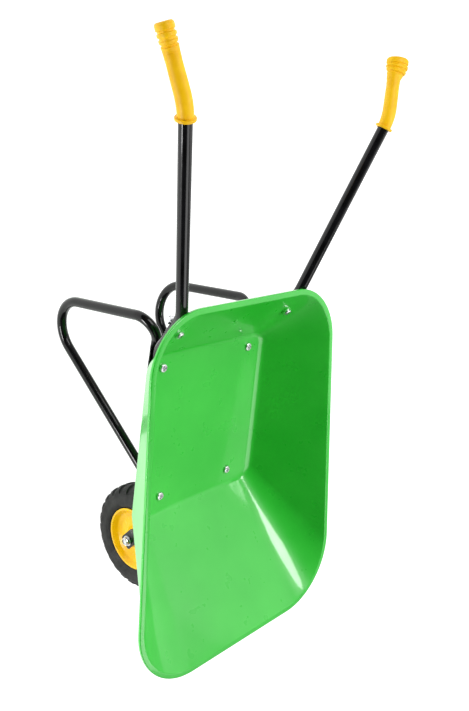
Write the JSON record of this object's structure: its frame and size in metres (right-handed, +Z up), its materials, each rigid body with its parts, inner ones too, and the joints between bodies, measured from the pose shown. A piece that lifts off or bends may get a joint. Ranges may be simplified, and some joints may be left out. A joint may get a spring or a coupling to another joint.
{
  "type": "wheelbarrow",
  "caption": "Small garden wheelbarrow: flared pressed tray with a flat rim, bent tube handles with sleeve grips, looped tube legs and a single fat-tyred wheel at the nose.",
  "frame": {"origin": "on the ground under the centre of the overall box, with the barrow standing on its wheel and its two legs", "axes": "+X forward to the wheel, +Y to the barrow's left, +Z up"},
  "size_m": [0.8441, 0.461, 0.3579],
  "materials": {
    "tray_paint": "glossy bright green paint on pressed sheet steel",
    "tube_paint": "glossy black paint on steel tube",
    "grip_plastic": "yellow moulded soft plastic, satin",
    "hub_plastic": "dark moulded plastic",
    "rim_plastic": "yellow moulded plastic, glossy",
    "bush_plastic": "pale bearing plastic",
    "zinc_steel": "bright zinc plate",
    "tyre_rubber": "dark rubber, matt"
  },
  "bodies": {
    "barrow": {"tray": "tray_paint", "left_handle_tube": "tube_paint", "right_handle_tube": "tube_paint", "left_leg": "tube_paint", "right_leg": "tube_paint", "left_grip": "grip_plastic", "right_grip": "grip_plastic", "left_axle_spacer": "zinc_steel", "right_axle_spacer": "zinc_steel", "axle_bolt": "zinc_steel", "axle_washers": "zinc_steel", "axle_nut": "zinc_steel", "front_floor_bolts": "zinc_steel", "front_floor_washers": "zinc_steel", "front_floor_nuts": "zinc_steel", "rear_floor_bolts": "zinc_steel", "rear_floor_washers": "zinc_steel", "rear_floor_nuts": "zinc_steel", "rear_wall_bolts": "zinc_steel", "rear_wall_washers": "zinc_steel", "rear_wall_nuts": "zinc_steel"},
    "wheel": {"wheel_hub": "hub_plastic", "left_rim_disc": "rim_plastic", "right_rim_disc": "rim_plastic", "left_hub_bush": "bush_plastic", "right_hub_bush": "bush_plastic", "tyre": "tyre_rubber"}
  },
  "joints": [
    {"name": "wheel_spin", "type": "hinge", "parent": "barrow", "child": "wheel", "pos_m": [0.3346, 0, 0.0874], "axis": [0, 1, 0], "continuous": true}
  ]
}
